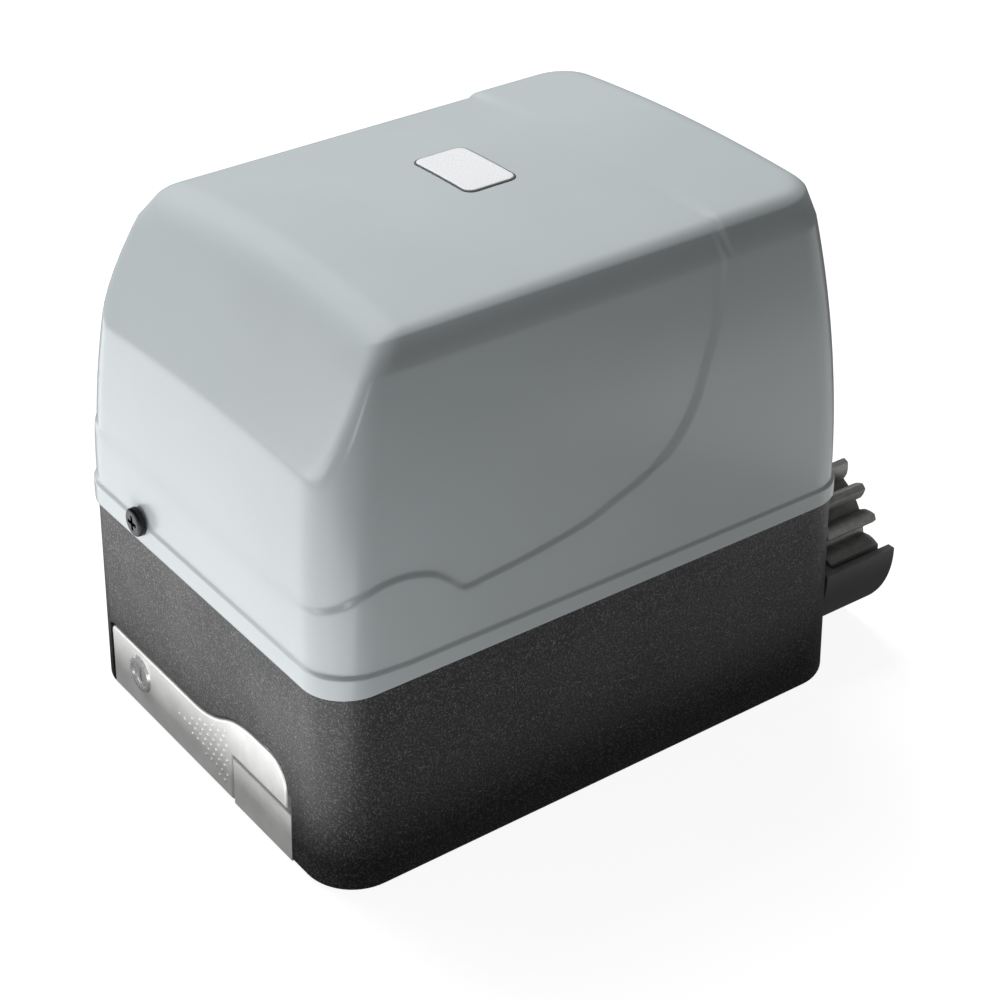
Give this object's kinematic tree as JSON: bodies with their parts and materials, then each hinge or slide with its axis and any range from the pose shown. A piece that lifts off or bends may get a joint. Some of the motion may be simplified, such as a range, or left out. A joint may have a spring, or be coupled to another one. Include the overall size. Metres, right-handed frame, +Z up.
{
  "type": "sliding gate motor",
  "caption": "Sliding gate operator: bowed lift-off cover on a moulded base, toothed rack pinion out of the back, lockable release lever, worm-geared motor inside.",
  "frame": {"origin": "centre of the foundation slot pattern, on the underside of the base", "axes": "+X across the motor, +Y from the release lever to the rack pinion, +Z up"},
  "size_m": [0.1944, 0.2959, 0.2268],
  "materials": {
    "base_plastic": "black moulded housing with a coarse sparkling grain",
    "cover_plastic": "smooth light grey moulding, semi-gloss",
    "badge": "bare pale badge",
    "black_steel": "blackened steel screws",
    "zinc_steel": "bright zinc plated steel",
    "cast_alloy": "raw satin die-cast alloy",
    "pinion_steel": "grey sintered steel",
    "shaft_steel": "ground steel",
    "bearing_steel": "polished bearing steel",
    "bronze": "machined bronze",
    "lock_metal": "bright plated lock",
    "laminations": "varnished laminations",
    "copper": "enamelled copper windings",
    "black_rubber": "soft black rubber",
    "black_plastic": "black moulded plastic",
    "board_green": "solder-masked circuit board",
    "terminal_green": "green terminal plastic",
    "relay_plastic": "dark relay cases",
    "white_plastic": "white moulded plastic",
    "fuse_glass": "fuse in its clip"
  },
  "bodies": {
    "frame": {"base_housing": "base_plastic", "board_chips": "relay_plastic", "board_fuse": "fuse_glass", "board_relays": "relay_plastic", "board_screws": "zinc_steel", "board_terminals": "terminal_green", "board_tray": "black_plastic", "cable_grommet": "black_rubber", "capacitor_clip": "zinc_steel", "casing_screws": "zinc_steel", "control_board": "board_green", "gear_casing": "cast_alloy", "gear_lid": "cast_alloy", "guard_screws": "black_steel", "lid_screws": "zinc_steel", "limit_sensor": "black_plastic", "motor_bearing_lower": "bearing_steel", "motor_bearing_upper": "bearing_steel", "motor_bolts": "zinc_steel", "motor_lower_shield": "cast_alloy", "motor_upper_shield": "cast_alloy", "pinion_guard": "black_plastic", "pivot_block": "cast_alloy", "pivot_pin": "shaft_steel", "rod_bush": "bronze", "run_capacitor": "white_plastic", "shaft_bearing_front": "bearing_steel", "shaft_bearing_rear": "bearing_steel", "shaft_seal": "black_rubber", "stator_stack": "laminations", "stator_windings": "copper", "transformer_coil": "copper", "transformer_core": "laminations", "transformer_screws": "zinc_steel", "transformer_strap": "zinc_steel", "worm_bearing": "bearing_steel"},
    "cover": {"cover": "cover_plastic", "cover_badge": "badge", "cover_screws": "black_steel", "cover_nuts": "zinc_steel"},
    "lever": {"release_lever": "cast_alloy", "lock_case": "lock_metal", "lock_nut": "zinc_steel"},
    "lock": {"lock_plug": "lock_metal", "lock_tongue": "zinc_steel"},
    "rod": {"release_rod": "shaft_steel"},
    "motor_rotor": {"worm_shaft": "shaft_steel", "rotor_core": "laminations"},
    "wheel": {"worm_wheel": "bronze"},
    "output": {"output_shaft": "shaft_steel", "pinion_key": "shaft_steel", "pinion": "pinion_steel", "pinion_washer": "zinc_steel", "pinion_bolt": "zinc_steel", "wheel_circlip": "shaft_steel", "spring_seat": "zinc_steel", "clutch_spring": "bearing_steel"},
    "clutch": {"clutch_collar": "shaft_steel", "clutch_pin": "shaft_steel"}
  },
  "joints": [
    {"name": "motor_turn", "type": "hinge", "parent": "frame", "child": "motor_rotor", "pos_m": [0.0095, 0.05, 0.05], "axis": [0, 0, 1], "continuous": true},
    {"name": "wheel_turn", "type": "hinge", "parent": "frame", "child": "wheel", "pos_m": [0.0475, 0.05, 0.0424], "axis": [0, 1, 0], "continuous": true},
    {"name": "output_turn", "type": "hinge", "parent": "frame", "child": "output", "pos_m": [0.0475, 0.05, 0.0424], "axis": [0, 1, 0], "continuous": true},
    {"name": "clutch_slide", "type": "slide", "parent": "output", "child": "clutch", "axis": [0, 1, 0], "range_m": [0, 0.006], "deforming": ["clutch_spring"]},
    {"name": "lever_turn", "type": "hinge", "parent": "frame", "child": "lever", "pos_m": [0.0475, -0.119, 0.03], "axis": [0, 0, 1], "range_deg": [0, 90]},
    {"name": "lock_turn", "type": "hinge", "parent": "lever", "child": "lock", "pos_m": [-0.053, -0.12, 0.019], "axis": [0, 1, 0], "range_deg": [0, 90]},
    {"name": "rod_slide", "type": "slide", "parent": "frame", "child": "rod", "axis": [0, 1, 0], "range_m": [0, 0.006]},
    {"name": "cover_lift", "type": "slide", "parent": "frame", "child": "cover", "axis": [0, 0, 1], "range_m": [0, 0.125]}
  ],
  "couplings": [
    {"joint": "wheel_turn", "follows": "motor_turn", "ratio": -0.035714},
    {"joint": "output_turn", "follows": "motor_turn", "ratio": -0.035714},
    {"joint": "clutch_slide", "follows": "lever_turn", "m_per_rad": 0.0038197},
    {"joint": "rod_slide", "follows": "lever_turn", "m_per_rad": 0.0038197}
  ]
}
